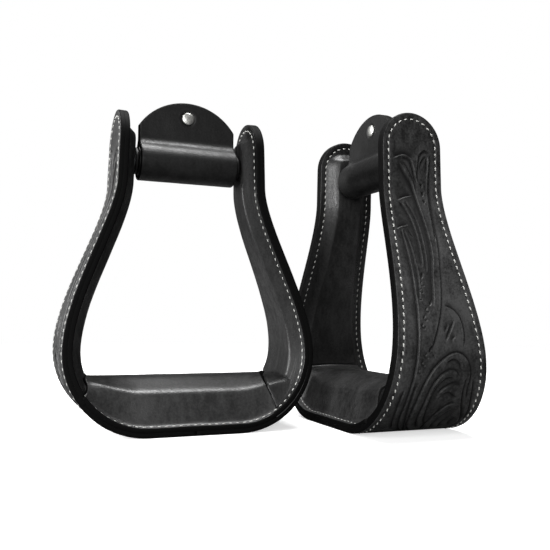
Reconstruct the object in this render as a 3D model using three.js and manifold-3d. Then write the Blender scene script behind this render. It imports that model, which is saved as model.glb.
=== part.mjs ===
// A pair of leather-covered western stirrups. Millimetres, +Z up, both standing on their treads.
// In a stirrup's own frame x runs across the bell, y runs through it and z = 0 is under the tread.

import * as THREE from "three";
import { mergeVertices } from "three/addons/utils/BufferGeometryUtils.js";
import Module from "manifold-3d";

// Driving dimensions of the bell's outer face
const flatHalf = 30; // half of the flat under the tread
const cornerRadius = 53; // lower corners
const neckHalf = 50.5; // outer face to the middle, where the neck begins
const neckHeight = 165; // where the bell's side straightens into the neck
const sideHeight = 213; // top of the rounded side ends
const neckLean = 2; // how far each side leans in over the neck's height
const endCorner = 22.5; // nearly the strap's half depth, so each side ends almost in a half circle
const hipPull = 36.6; // how long the side stays upright above the corner
const neckPull = 25.7; // how long it stays upright below the neck

// Depth of the strap, front to back
const neckHalfDepth = 22.7;
const treadHalfDepth = 38.1;
const flareTop = 168; // the flare starts here
const flareBottom = -30; // and would end here, under the floor

// Leather, wood and fit
const leather = 3.1;
const gap = 0.3; // between touching pieces
const crownDepth = 13; // outer face to the lining's raised inner face
const stitchMargin = 7; // flat edge of the lining, where it is sewn to the cover
const shoulderStep = 2.5; // the raised lining steps in here, half way up its shoulder
const crownDrop = 14; // crown's end below the side's end
const crownCorner = 8;

// Tread
const treadHeight = 36;
const treadTopHalf = 19; // half of the flat top, front to back
const shoulderHalf = 25.5; // where the round shoulder meets the sloping front
const shoulderHeight = 29;
const footHalf = 31;
const seamTop = [64, 38]; // the seam's two points in x and z, on the corner
const seamFoot = [68, 27];

// Hanging bar
const barHeight = 180;
const boltRadius = 4.75;
const boltHeadRadius = 9;
const boltHeadThickness = 2.6;
const barrelRadius = 6.6;
const rollerRadius = 9.5;
const rollerBore = 5.15;
const washerRadius = 9;
const washerThickness = 1.8;

// Keeper tab and its rivet
const tabHalfWidth = 33.5;
const tabTop = 223;
const tabCornerRise = 18; // the arc of the top rises this far above the tab's corners
const rollRadius = 13; // leather round the roller
const bendRadius = 8; // from the roll up into the flaps
const slitHalf = 0.2; // half the slit between the two flaps
const rivetHeight = 212;
const rivetHeadRadius = 4.2;
const rivetHeadThickness = 1.2;
const rivetChamfer = 0.8; // at the rim of its head and cap
const rivetRadius = 2.2;

// Tread screws
const screwSpacingHalf = 20;
const screwRadius = 2;
const screwHeadRadius = 4;
const screwHeadHeight = 2.4;
const screwTip = 24;

// Layout of the pair
const pairSpacing = 134; // between the two stirrups' middles, along x
const rightSetForward = 27; // how far the right stirrup stands in front of the left one

const hoopSteps = 26; // steps along one side of the bell
const flareSteps = 5;
const roundSteps = 20; // round a turned piece
const arcSteps = 6; // along each curve of an outline, and twice this along an arc
const reach = 70; // half length of a cutting prism through the depth, past every face
const weldDistance = 1e-4; // vertices closer than this are one

const wasm = await Module();
wasm.setup();

// Joining and cutting

function solidOf(geometry) {
  const bare = geometry.clone();
  bare.deleteAttribute("normal");
  bare.deleteAttribute("uv");
  const merged = mergeVertices(bare, weldDistance);
  const vertProperties = new Float32Array(merged.attributes.position.array);
  const triVerts = new Uint32Array(merged.index.array);
  return new wasm.Manifold(new wasm.Mesh({ numProp: 3, vertProperties, triVerts }));
}

function geometryOf(solid) {
  const mesh = solid.getMesh();
  const geometry = new THREE.BufferGeometry();
  geometry.setAttribute("position", new THREE.BufferAttribute(mesh.vertProperties, 3));
  geometry.setIndex(new THREE.BufferAttribute(mesh.triVerts, 1));
  geometry.computeVertexNormals();
  return geometry;
}

// Prisms: an outline seen from the front runs through the depth, one seen from the side across the width

const axisX = new THREE.Vector3(1, 0, 0);
const axisY = new THREE.Vector3(0, 1, 0);
const axisZ = new THREE.Vector3(0, 0, 1);

function prism(shape, halfLength, basis) {
  const geometry = new THREE.ExtrudeGeometry(shape, {
    depth: 2 * halfLength,
    bevelEnabled: false,
    curveSegments: arcSteps,
  });
  geometry.translate(0, 0, -halfLength);
  geometry.applyMatrix4(basis);
  return solidOf(geometry);
}

const frontBasis = new THREE.Matrix4().makeBasis(axisX, axisZ, axisY.clone().negate());
const sideBasis = new THREE.Matrix4().makeBasis(axisY, axisZ, axisX);
const throughDepth = (shape) => prism(shape, reach, frontBasis);
const acrossWidth = (shape) => prism(shape, 2 * reach, sideBasis);

// Turned pieces: a profile of [radius, station] pairs round the x, y or z axis

function turned(profile, axis) {
  const points = profile.map(([radius, station]) => new THREE.Vector2(radius, station));
  const geometry = new THREE.LatheGeometry(points, roundSteps);
  geometry.applyQuaternion(new THREE.Quaternion().setFromUnitVectors(axisY, axis));
  return solidOf(geometry);
}

const rod = (radius, from, to) => [[0, from], [radius, from], [radius, to], [0, to]];
const tube = (outer, inner, from, to) => [
  [inner, from], [outer, from], [outer, to], [inner, to], [inner, from],
];

// The bell, seen from the front

function bellSide() {
  const path = new THREE.Path();
  path.moveTo(0, 0);
  path.lineTo(flatHalf, 0);
  path.absarc(flatHalf, cornerRadius, cornerRadius, -Math.PI / 2, 0, false);
  path.bezierCurveTo(
    flatHalf + cornerRadius, cornerRadius + hipPull,
    neckHalf, neckHeight - neckPull,
    neckHalf, neckHeight,
  );
  path.lineTo(neckHalf - neckLean, sideHeight + crownDepth);
  return path;
}

// One side of the bell moved inwards from the outer face, from under the tread to above the neck
function insetSide(inset) {
  const path = bellSide();
  const points = [];
  for (let i = 0; i <= hoopSteps; i += 1) {
    const point = path.getPointAt(i / hoopSteps);
    const tangent = path.getTangentAt(i / hoopSteps);
    points.push(new THREE.Vector2(point.x - tangent.y * inset, point.y + tangent.x * inset));
  }
  return points;
}

function insetBell(inset) {
  const right = insetSide(inset);
  const left = right.slice(1).reverse().map((point) => new THREE.Vector2(-point.x, point.y));
  return [...left, ...right];
}

const insideBell = (inset) => throughDepth(new THREE.Shape(insetBell(inset)));
const bellBand = (outer, inner) => insideBell(outer).subtract(insideBell(inner));

// The strap, seen from the side: flared at the tread, with round corners at its upper end

const flareAt = (z) => 1 - THREE.MathUtils.smoothstep(z, flareBottom, flareTop);
const flareDepth = (treadHalfDepth - neckHalfDepth) / flareAt(0);
const halfDepthAt = (z) => neckHalfDepth + flareDepth * flareAt(z);

function strapOutline(inset, top, corner) {
  const shape = new THREE.Shape();
  shape.moveTo(-halfDepthAt(0) + inset, -crownDepth);
  shape.lineTo(halfDepthAt(0) - inset, -crownDepth);
  for (let i = 0; i <= flareSteps; i += 1) {
    const z = (flareTop * i) / flareSteps;
    shape.lineTo(halfDepthAt(z) - inset, z);
  }
  const end = halfDepthAt(flareTop) - inset;
  shape.absarc(end - corner, top - corner, corner, 0, Math.PI / 2, false);
  shape.absarc(corner - end, top - corner, corner, Math.PI / 2, Math.PI, false);
  for (let i = flareSteps; i >= 0; i -= 1) {
    const z = (flareTop * i) / flareSteps;
    shape.lineTo(inset - halfDepthAt(z), z);
  }
  return acrossWidth(shape);
}

const fullStrap = () => strapOutline(0, sideHeight, endCorner);
const crownStrap = (inset) =>
  strapOutline(stitchMargin + inset, sideHeight - crownDrop - inset, crownCorner);

// The tread, seen from the side

function treadSection(inset) {
  const shape = new THREE.Shape();
  const top = treadHeight - inset;
  shape.moveTo(inset - footHalf, 0);
  shape.lineTo(footHalf - inset, 0);
  shape.lineTo(shoulderHalf - inset, shoulderHeight - inset);
  shape.quadraticCurveTo(shoulderHalf - inset, top, treadTopHalf - inset, top);
  shape.lineTo(inset - treadTopHalf, top);
  shape.quadraticCurveTo(inset - shoulderHalf, top, inset - shoulderHalf, shoulderHeight - inset);
  return acrossWidth(shape);
}

// Everything between the two seams and below them, drawn in by an inset
function treadZone(inset) {
  const lean = (seamFoot[0] - seamTop[0]) / (seamTop[1] - seamFoot[1]);
  const seamX = (z) => seamTop[0] + (seamTop[1] - z) * lean - inset;
  const shape = new THREE.Shape();
  shape.moveTo(-seamX(cornerRadius), cornerRadius);
  shape.lineTo(-seamX(-crownDepth), -crownDepth);
  shape.lineTo(seamX(-crownDepth), -crownDepth);
  shape.lineTo(seamX(cornerRadius), cornerRadius);
  return throughDepth(shape);
}

// Pieces of the hoop. Measured inwards from the outer face: cover, gap, core, gap, lining

const coreOuter = leather + gap;
const coreInner = crownDepth - leather - gap;
const edgeStack = coreOuter + leather;

// Stations of the hanging bar's pieces, outwards from the middle along x
const neckLeanRate = neckLean / (sideHeight + crownDepth - neckHeight);
const neckFaceAtBar = neckHalf - neckLeanRate * (barHeight - neckHeight);
const headOuter = neckFaceAtBar - coreOuter - 2 * gap;
const headInner = headOuter - boltHeadThickness;
const washerOuter = neckFaceAtBar - crownDepth - 2 * gap;
const washerInner = washerOuter - washerThickness;
const rollerHalf = washerInner - gap;

const pocket = () => bellBand(leather, coreInner + gap).intersect(crownStrap(leather));

function sewnShell() {
  const edge = bellBand(coreOuter, edgeStack).intersect(fullStrap());
  const shoulder = bellBand(coreOuter, (edgeStack + crownDepth) / 2).intersect(crownStrap(0));
  const crown = bellBand(coreOuter, crownDepth).intersect(crownStrap(shoulderStep));
  return edge.add(shoulder).add(crown);
}

// The part of a solid on one side of the middle: -1 for low x, 1 for high x
function halfOf(solid, side) {
  const half = new THREE.BoxGeometry(2 * reach, 2 * reach, 8 * reach);
  half.translate(side * reach, 0, 0);
  return solid.intersect(solidOf(half));
}

function lining() {
  const boltHole = turned(rod(barrelRadius + gap, -reach, reach), axisX).translate(0, 0, barHeight);
  return sewnShell().subtract(pocket()).subtract(treadZone(-gap)).subtract(boltHole);
}

function treadCover() {
  const overBlock = treadSection(0).intersect(insideBell(coreOuter));
  const underBlock = treadSection(leather).intersect(insideBell(leather));
  const body = sewnShell().add(overBlock).subtract(pocket()).subtract(underBlock);
  return body.intersect(treadZone(0));
}

function screwHoles() {
  const hole = (x) => {
    const shank = turned(rod(screwRadius + gap, 0, screwTip + gap), axisZ);
    const head = turned(rod(screwHeadRadius + gap, 0, coreOuter + screwHeadHeight + gap), axisZ);
    return shank.add(head).translate(x, 0, 0);
  };
  return hole(-screwSpacingHalf).add(hole(screwSpacingHalf));
}

function coreHoop() {
  const hoop = bellBand(coreOuter, coreInner).intersect(crownStrap(leather + gap));
  const recess = boltHeadRadius + gap;
  const boltHole = turned(rod(barrelRadius + gap, -reach, reach), axisX);
  const headHole = turned(rod(recess, headInner - gap, reach), axisX);
  const flangeHole = turned(rod(recess, -reach, gap - headInner), axisX);
  const bar = boltHole.add(headHole).add(flangeHole).translate(0, 0, barHeight);
  return hoop.subtract(bar).subtract(screwHoles());
}

function treadBlock() {
  const block = treadSection(leather + gap).intersect(insideBell(coreInner + gap));
  return block.intersect(treadZone(leather + gap)).subtract(screwHoles());
}

// Pieces of the hanging bar

function barBolt() {
  const shankEnd = -headOuter + gap;
  return [[0, shankEnd], [boltRadius, shankEnd], [boltRadius, headInner], [boltHeadRadius, headInner],
    [boltHeadRadius, headOuter], [0, headOuter]];
}

function barNut() {
  const bore = boltRadius + gap;
  return [[bore, -headOuter], [boltHeadRadius, -headOuter], [boltHeadRadius, -headInner],
    [barrelRadius, -headInner], [barrelRadius, -washerOuter - gap], [bore, -washerOuter - gap],
    [bore, -headOuter]];
}

function treadScrew() {
  const headTop = coreOuter + screwHeadHeight;
  return [[0, coreOuter], [screwHeadRadius, coreOuter], [screwRadius, headTop],
    [screwRadius, screwTip - 2 * screwRadius], [0, screwTip]];
}

// The tab's section, seen from the side: one strap folded round the roller, with its flaps upwards
function tabSection() {
  const inner = rollRadius - leather;
  const flapFace = leather + slitHalf;
  const bendY = flapFace + bendRadius;
  const bendZ = Math.sqrt((rollRadius + bendRadius) ** 2 - bendY ** 2);
  const turn = Math.atan2(bendZ, bendY);
  const shape = new THREE.Shape();
  const above = tabTop + reach - barHeight;
  shape.moveTo(flapFace, above);
  shape.absarc(bendY, bendZ, bendRadius, Math.PI, Math.PI + turn, false);
  shape.absarc(0, 0, rollRadius, turn, Math.PI - turn, true);
  shape.absarc(-bendY, bendZ, bendRadius, -turn, 0, false);
  shape.lineTo(-flapFace, above);
  shape.lineTo(-slitHalf, above);
  shape.absarc(-bendY, bendZ, bendRadius + leather, 0, -turn, true);
  shape.absarc(0, 0, inner, Math.PI - turn, turn, false);
  shape.absarc(bendY, bendZ, bendRadius + leather, Math.PI + turn, Math.PI, true);
  shape.lineTo(slitHalf, above);
  return acrossWidth(shape).translate(0, 0, barHeight);
}

// The tab seen from the front: straight sides and a low arc over the top
function tabOutline() {
  const arcRadius = (tabHalfWidth ** 2 + tabCornerRise ** 2) / (2 * tabCornerRise);
  const sweep = Math.asin(tabHalfWidth / arcRadius);
  const shape = new THREE.Shape();
  shape.moveTo(-tabHalfWidth, barHeight - 2 * rollRadius);
  shape.lineTo(tabHalfWidth, barHeight - 2 * rollRadius);
  shape.absarc(0, tabTop - arcRadius, arcRadius, Math.PI / 2 - sweep, Math.PI / 2 + sweep, false);
  return throughDepth(shape);
}

function keeperTab() {
  const hole = turned(rod(rivetRadius + gap, -reach, reach), axisY).translate(0, 0, rivetHeight);
  return tabSection().intersect(tabOutline()).subtract(hole);
}

const rivetFace = leather + slitHalf + gap;

function rivetPost() {
  const top = -rivetFace - rivetHeadThickness;
  return [[0, top], [rivetHeadRadius - rivetChamfer, top], [rivetHeadRadius, top + rivetChamfer],
    [rivetHeadRadius, -rivetFace], [rivetRadius, -rivetFace], [rivetRadius, rivetFace], [0, rivetFace]];
}

function rivetCap() {
  const bore = rivetRadius + gap;
  const top = rivetFace + rivetHeadThickness;
  return [[bore, rivetFace], [rivetHeadRadius, rivetFace], [rivetHeadRadius, top - rivetChamfer],
    [rivetHeadRadius - rivetChamfer, top], [0, top], [0, rivetFace + gap], [bore, rivetFace + gap],
    [bore, rivetFace]];
}

// Finishes

const finishes = {
  blackLeather: { color: 0x242424, roughness: 0.5, metalness: 0 },
  liningLeather: { color: 0x2e2e2e, roughness: 0.45, metalness: 0 },
  wood: { color: 0xb08a5a, roughness: 0.7, metalness: 0 },
  steel: { color: 0x8c8f93, roughness: 0.4, metalness: 1 },
  blackPlastic: { color: 0x0c0c0c, roughness: 0.5, metalness: 0 },
  nickel: { color: 0xd6d6d2, roughness: 0.2, metalness: 1 },
};

// One stirrup, as a group of named pieces

function stirrup(side) {
  const group = new THREE.Group();
  const place = (name, solid, finish) => {
    const mesh = new THREE.Mesh(geometryOf(solid), new THREE.MeshStandardMaterial(finishes[finish]));
    mesh.name = `${side}_${name}`;
    group.add(mesh);
  };
  const onBar = (profile) => turned(profile, axisX).translate(0, 0, barHeight);
  const washer = (from, to) => onBar(tube(washerRadius, boltRadius + gap, from, to));
  const screw = (x) => turned(treadScrew(), axisZ).translate(x, 0, 0);
  const rivet = (profile) => turned(profile, axisY).translate(0, 0, rivetHeight);

  place("outer_cover", bellBand(0, leather).intersect(fullStrap()), "blackLeather");
  place("lining_a", halfOf(lining(), -1), "liningLeather");
  place("lining_b", halfOf(lining(), 1), "liningLeather");
  place("tread_cover", treadCover(), "liningLeather");
  place("core_hoop", coreHoop(), "wood");
  place("tread_block", treadBlock(), "wood");
  place("tread_screw_a", screw(-screwSpacingHalf), "steel");
  place("tread_screw_b", screw(screwSpacingHalf), "steel");
  place("bar_bolt", onBar(barBolt()), "steel");
  place("bar_nut", onBar(barNut()), "steel");
  place("spacer_a", washer(-washerOuter, -washerInner), "blackPlastic");
  place("spacer_b", washer(washerInner, washerOuter), "blackPlastic");
  place("roller", onBar(tube(rollerRadius, rollerBore, -rollerHalf, rollerHalf)), "blackPlastic");
  place("keeper_tab", keeperTab(), "blackLeather");
  place("rivet_post", rivet(rivetPost()), "nickel");
  place("rivet_cap", rivet(rivetCap()), "nickel");
  return group;
}

// The pair: the origin is on the floor under the middle of the box round both stirrups

const bellHalf = flatHalf + cornerRadius;
const boxMiddle = (pairSpacing + treadHalfDepth - bellHalf) / 2;

const left = stirrup("left");
left.position.set(-boxMiddle, rightSetForward, 0);

const right = stirrup("right");
right.position.set(pairSpacing - boxMiddle, 0, 0);
right.rotation.z = -Math.PI / 2;

const group = new THREE.Group();
group.add(left, right);

export default group;
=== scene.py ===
import math

import bmesh
import bpy
import numpy as np
from mathutils import Matrix, Vector


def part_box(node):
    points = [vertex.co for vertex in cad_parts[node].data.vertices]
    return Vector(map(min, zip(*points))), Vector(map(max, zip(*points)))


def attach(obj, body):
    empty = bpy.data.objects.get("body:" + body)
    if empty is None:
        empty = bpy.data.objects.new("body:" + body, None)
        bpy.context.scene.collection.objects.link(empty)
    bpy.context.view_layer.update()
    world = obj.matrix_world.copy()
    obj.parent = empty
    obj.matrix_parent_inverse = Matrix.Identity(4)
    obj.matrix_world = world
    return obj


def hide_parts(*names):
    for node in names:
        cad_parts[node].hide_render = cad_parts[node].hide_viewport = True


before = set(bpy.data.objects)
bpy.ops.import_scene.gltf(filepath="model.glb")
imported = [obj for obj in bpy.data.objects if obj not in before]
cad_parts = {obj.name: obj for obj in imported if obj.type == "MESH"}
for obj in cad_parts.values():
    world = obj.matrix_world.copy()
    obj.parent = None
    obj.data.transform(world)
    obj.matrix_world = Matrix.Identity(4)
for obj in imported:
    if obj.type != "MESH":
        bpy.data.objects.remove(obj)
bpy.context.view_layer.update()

# A pair of western stirrups: bell-shaped wooden hoops covered in tooled black leather.
# Shapes are worked out in millimetres in a stirrup's own frame, then placed in metres round each CAD cover.
millimetre = 0.001
sides = ("left", "right")
seed = 7
scene = bpy.context.scene
print("stage: frame loaded,", len(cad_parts), "CAD nodes")

# The bell's outer face seen from the front, and the strap's depth seen from the side, in mm
bell = {
    "flatHalf": 30.0,
    "cornerRadius": 53.0,
    "neckHalf": 50.5,
    "neckHeight": 165.0,
    "neckLean": 2.0,
    "hipPull": 36.6,
    "neckPull": 25.7,
    "neckHalfDepth": 22.7,
    "treadHalfDepth": 38.1,
    "flareTop": 168.0,
    "flareBottom": -30.0,
    "leather": 3.1,
    "pressed": 0.25,  # layers are sewn down on each other, so no light comes through between their edges
    "edgeStack": 6.5,
    "crown": 13.0,
    "barHeight": 180.0,
}
bell["sideHeight"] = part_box("left_outer_cover")[1][2] / millimetre

# How finely shapes are divided; the last two are in metres, for points and slivers that are joined up
fineness = {
    "curveSteps": 600,
    "runSteps": 3000,
    "softened": 41,
    "crowding": 0.28,
    "cornerLean": 0.7,
    "rimAngles": (30, 60, 90),
    "joinWithin": 2e-6,
    "sliver": 1e-7,
}
wavelets = {"shortest": 0.6, "spread": 0.9, "phases": 6.3}


def runsOf(line):
    # How far along a line each of its points lies
    return np.concatenate([[0.0], np.cumsum(np.linalg.norm(np.diff(line, axis=0), axis=1))])


def evenTable(line, count, softened):
    # The line read at even runs, and its slope there, averaged over some entries where two stretches meet
    run = runsOf(line)
    even = np.linspace(0.0, run[-1], count)
    first = np.interp(even, run, line[:, 0])
    second = np.interp(even, run, line[:, 1])
    slope = np.unwrap(np.arctan2(np.gradient(second), np.gradient(first)))
    slope = np.pad(slope, softened // 2, mode="edge")
    return even, first, second, np.convolve(slope, np.ones(softened) / softened, mode="valid")


def crowded(count, share):
    # Steps from -1 to 1 that are drawn closer together towards both ends
    even = np.linspace(-1.0, 1.0, count)
    return (1.0 - share) * even + share * np.sin(even * math.pi / 2)


def bellTable():
    # Half the outline from under the tread upwards: a line, a quarter circle, a cubic Bezier and a line
    t = np.linspace(0.0, 1.0, fineness["curveSteps"])
    hip = bell["flatHalf"] + bell["cornerRadius"]
    radius = bell["cornerRadius"]
    angle = t * math.pi / 2
    flat = np.stack([t * bell["flatHalf"], t * 0.0], 1)
    corner = np.stack([bell["flatHalf"] + radius * np.sin(angle), radius - radius * np.cos(angle)], 1)
    pulls = np.array([
        [hip, radius],
        [hip, radius + bell["hipPull"]],
        [bell["neckHalf"], bell["neckHeight"] - bell["neckPull"]],
        [bell["neckHalf"], bell["neckHeight"]],
    ])
    weights = np.stack([(1 - t) ** 3, 3 * (1 - t) ** 2 * t, 3 * (1 - t) * t ** 2, t ** 3], 1)
    swell = weights @ pulls
    rise = bell["sideHeight"] + bell["crown"] - bell["neckHeight"]
    neck = np.stack([bell["neckHalf"] - bell["neckLean"] * t, bell["neckHeight"] + rise * t], 1)
    line = np.concatenate([flat, corner[1:], swell[1:], neck[1:]])
    return evenTable(line, fineness["runSteps"], fineness["softened"])


runTable, xTable, zTable, slopeTable = bellTable()
sideEnd = float(np.interp(bell["sideHeight"], zTable, runTable))  # along the face, from the middle to the tip
roundStart = sideEnd - bell["neckHalfDepth"]


def smooth(t):
    t = np.clip(t, 0.0, 1.0)
    return t * t * (3.0 - 2.0 * t)


def shouldered(t, softness=0.02):
    # A straight ramp from 0 to 1, rounded at its foot and at its top
    foot = (t + np.sqrt(t * t + softness)) / 2
    past = foot - 1.0
    return 1.0 + (past - np.sqrt(past * past + softness)) / 2


def halfDepth(along):
    # The flare: the neck's half depth plus a smooth step that grows down to the tread
    z = np.interp(np.abs(along), runTable, zTable)
    span = bell["flareTop"] - bell["flareBottom"]
    grow = smooth((bell["flareTop"] - z) / span) / smooth(bell["flareTop"] / span)
    return bell["neckHalfDepth"] + (bell["treadHalfDepth"] - bell["neckHalfDepth"]) * grow


def onBell(along, across, height):
    # The point of the outer face at this run along it, moved inwards by height along the face's normal
    run = np.abs(along)
    x = np.interp(run, runTable, xTable)
    z = np.interp(run, runTable, zTable)
    slope = np.interp(run, runTable, slopeTable)
    side = np.where(along < 0, -1.0, 1.0)
    return np.stack([side * (x - np.sin(slope) * height), across + 0 * x, z + np.cos(slope) * height], -1)


def fromOutline(along, across):
    # Distance in from the strap's outline: to its long edge, or to the half circle at its end
    past = np.maximum(np.abs(along) - roundStart, 0.0)
    straight = halfDepth(along) - np.abs(across)
    return np.where(past > 0, bell["neckHalfDepth"] - np.hypot(across, past), straight)


def ripples(a, b, look, draw):
    # Soft unevenness: a sum of sine waves in random directions
    total = np.zeros(np.broadcast(a, b).shape)
    for angle, phase, stretch in draw.random((look["waves"], 3)):
        turn = 2 * math.pi * angle
        pitch = look["pitch"] * (wavelets["shortest"] + wavelets["spread"] * stretch)
        run = (a * math.cos(turn) + b * math.sin(turn)) * 2 * math.pi / pitch
        total += np.sin(run + wavelets["phases"] * phase)
    return look["depth"] * total / look["waves"]


def boxOf(node):
    return (np.array(corner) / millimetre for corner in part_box(node))


def placed(side, local):
    # Metres in the frame: the left stirrup stands square, the right one is turned a quarter turn clockwise
    low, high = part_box(f"{side}_outer_cover")
    middleX = (low[0] + high[0]) / 2
    middleY = (low[1] + high[1]) / 2
    x, y, z = np.moveaxis(np.asarray(local) * millimetre, -1, 0)
    if side == "left":
        return np.stack([middleX + x, middleY + y, z], -1)
    return np.stack([middleX + y, middleY - x, z], -1)


def blackenEdges(mesh):
    # Faces whose corners all lie on the cut edge take the edge paint, the second material
    mesh.materials.append(edgePaint)
    mark = np.empty(len(mesh.vertices), dtype=np.float32)
    mesh.attributes["burnish"].data.foreach_get("value", mark)
    corners = np.empty(len(mesh.loops), dtype=np.int32)
    mesh.loops.foreach_get("vertex_index", corners)
    starts = np.empty(len(mesh.polygons), dtype=np.int32)
    mesh.polygons.foreach_get("loop_start", starts)
    least = np.minimum.reduceat(mark[corners], starts)
    mesh.polygons.foreach_set("material_index", (least > 0.5).astype(np.int32))
    mesh.update()


def meshPiece(name, points, faces, material, body, replaced, marks=None):
    mesh = bpy.data.meshes.new(name)
    mesh.from_pydata(points.reshape(-1, 3).tolist(), [], faces)
    for label, values in (marks or {}).items():
        layer = mesh.attributes.new(label, "FLOAT", "POINT")
        layer.data.foreach_set("value", np.asarray(values, dtype=np.float32).ravel())
    work = bmesh.new()
    work.from_mesh(mesh)
    bmesh.ops.remove_doubles(work, verts=work.verts, dist=fineness["joinWithin"])
    bmesh.ops.dissolve_degenerate(work, edges=work.edges, dist=fineness["sliver"])
    bmesh.ops.recalc_face_normals(work, faces=work.faces)
    work.to_mesh(mesh)
    work.free()
    mesh.shade_smooth()
    mesh.materials.append(material)
    if marks:
        blackenEdges(mesh)
    piece = bpy.data.objects.new(name, mesh)
    scene.collection.objects.link(piece)
    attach(piece, body)
    if replaced:
        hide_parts(*replaced)
    return piece


def gridFaces(rows, cols, start=0):
    index = start + np.arange(rows * cols).reshape(rows, cols)
    return np.stack([index[:-1, :-1], index[1:, :-1], index[1:, 1:], index[:-1, 1:]], -1).reshape(-1, 4)


def loopOf(values):
    # The grid's outline as one closed loop: up its first column, over its last row and back the other two ways
    return np.concatenate([values[:, 0], values[-1, 1:], values[-2::-1, -1], values[0, -2:0:-1]])


def patchRows(mainRows, cols, edgeInset, tipRows):
    # Runs along and across the strap on a grid, with the way outwards at its edge. The low end is cut square;
    # the rows at the high end are half ellipses that grow to the tip's circle.
    v = crowded(cols, fineness["crowding"])
    bulge = np.sqrt(np.clip(1.0 - v * v, 0.0, 1.0))
    along = np.repeat(mainRows[:, None], cols, 1)
    across = v[None, :] * (halfDepth(mainRows)[:, None] - edgeInset)
    outAlong = np.zeros_like(along)
    outAcross = np.repeat(v[None, :], len(mainRows), 0)
    lean = fineness["cornerLean"]
    outAlong[0] = -1.0
    outAcross[0] = 0.0
    outAlong[0, [0, -1]] = -lean
    outAcross[0, [0, -1]] = [-lean, lean]
    grow = np.linspace(0.0, 1.0, tipRows + 1)[1:, None]
    radius = bell["neckHalfDepth"] - edgeInset
    tip = [
        mainRows[-1] + grow * bulge[None, :] * radius,
        np.repeat(v[None, :] * radius, tipRows, 0),
        np.repeat(bulge[None, :], tipRows, 0),
        np.repeat(v[None, :], tipRows, 0),
    ]
    return [np.concatenate(pair) for pair in zip((along, across, outAlong, outAcross), tip)]


def rimSteps(rim):
    # How far down the thickness and how far out each loop of a rim lies: a round top and a tighter round back
    angles = np.radians(fineness["rimAngles"])
    radius = rim["radius"]
    small = rim["backRadius"]
    steps = [(radius * (1 - math.cos(a)), radius * math.sin(a)) for a in angles]
    for a in angles[::-1]:
        steps.append((rim["thickness"] - small * (1 - math.cos(a)), radius - small + small * math.sin(a)))
    return steps + [(rim["thickness"], radius - small)]


def wallFaces(loops):
    # Faces between each closed loop and the next one
    return [np.stack([a, np.roll(a, -1), np.roll(b, -1), b], 1) for a, b in zip(loops[:-1], loops[1:])]


def thinFaces(rows, cols, start):
    # A flat bottom from the outline's loop alone: faces from long edge to long edge, and two rows at the ends
    count = 2 * (rows + cols) - 4
    low = np.arange(rows)
    high = 2 * (rows - 1) + cols - 1 - low
    faces = [start + np.stack([low[:-1], high[:-1], high[1:], low[1:]], 1)]
    j = np.arange(cols // 2 - 1)
    for first, step in ((rows - 1, 1), (0, -1)):
        left = (first + step * j) % count
        leftNext = (first + step * (j + 1)) % count
        right = (first + step * (cols - 1 - j)) % count
        rightNext = (first + step * (cols - 2 - j)) % count
        faces.append(start + np.stack([left, leftNext, rightNext, right], 1))
    return faces


def leatherShell(patch, top, bottom, rim, surface, thin=False):
    # A closed piece of leather: the top face, a round rim dropped down through the thickness, and the bottom
    # face. A thin bottom is one row of faces from edge to edge, for a face that lies flat on something.
    rows, cols = top.shape
    along, across = patch[:2]
    steps = rimSteps(rim)
    ringAlong, ringAcross, ringOutAlong, ringOutAcross, ringTop, ringBottom = map(loopOf, (*patch, top, bottom))
    points = [surface(along, across, top).reshape(-1, 3)]
    for drop, out in steps:
        height = ringTop + (ringBottom - ringTop) * drop / rim["thickness"]
        points.append(surface(ringAlong + ringOutAlong * out, ringAcross + ringOutAcross * out, height))
    start = rows * cols
    count = len(ringAlong)
    bottomStart = start + len(steps) * count
    loops = [loopOf(np.arange(start).reshape(rows, cols))]
    loops += [start + level * count + np.arange(count) for level in range(len(steps))]
    faces = [gridFaces(rows, cols)]
    if thin:
        points.append(surface(ringAlong, ringAcross, ringBottom))
        loops.append(bottomStart + np.arange(count))
        faces += thinFaces(rows, cols, bottomStart)
    else:
        points.append(surface(along, across, bottom).reshape(-1, 3))
        loops.append(loopOf(bottomStart + np.arange(start).reshape(rows, cols)))
        faces.append(gridFaces(rows, cols, bottomStart)[:, ::-1])
    burnish = np.zeros(sum(map(len, points)))
    burnish[start:bottomStart] = 1.0
    return np.concatenate(points), np.concatenate(faces + wallFaces(loops)).tolist(), burnish


def linearColour(hexCode):
    # sRGB hex to linear RGBA
    parts = [int(hexCode[i:i + 2], 16) / 255 for i in (1, 3, 5)]
    return [p / 12.92 if p <= 0.04045 else ((p + 0.055) / 1.055) ** 2.4 for p in parts] + [1.0]


def addNode(tree, kind, inputs=None, **settings):
    # Adds one node; an input's value is a socket to link from, or a number or colour to set
    node = tree.nodes.new(kind)
    for label, value in settings.items():
        setattr(node, label, value)
    for label, value in (inputs or {}).items():
        if isinstance(value, bpy.types.NodeSocket):
            tree.links.new(value, node.inputs[label])
        else:
            node.inputs[label].default_value = value
    return node


def startMaterial(name):
    material = bpy.data.materials.new(name)
    material.use_nodes = True
    tree = material.node_tree
    tree.nodes.clear()
    coordinates = addNode(tree, "ShaderNodeTexCoord").outputs["Object"]
    return material, tree, coordinates


def finishMaterial(tree, shader):
    addNode(tree, "ShaderNodeOutputMaterial", {"Surface": shader.outputs[0]})


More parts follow.
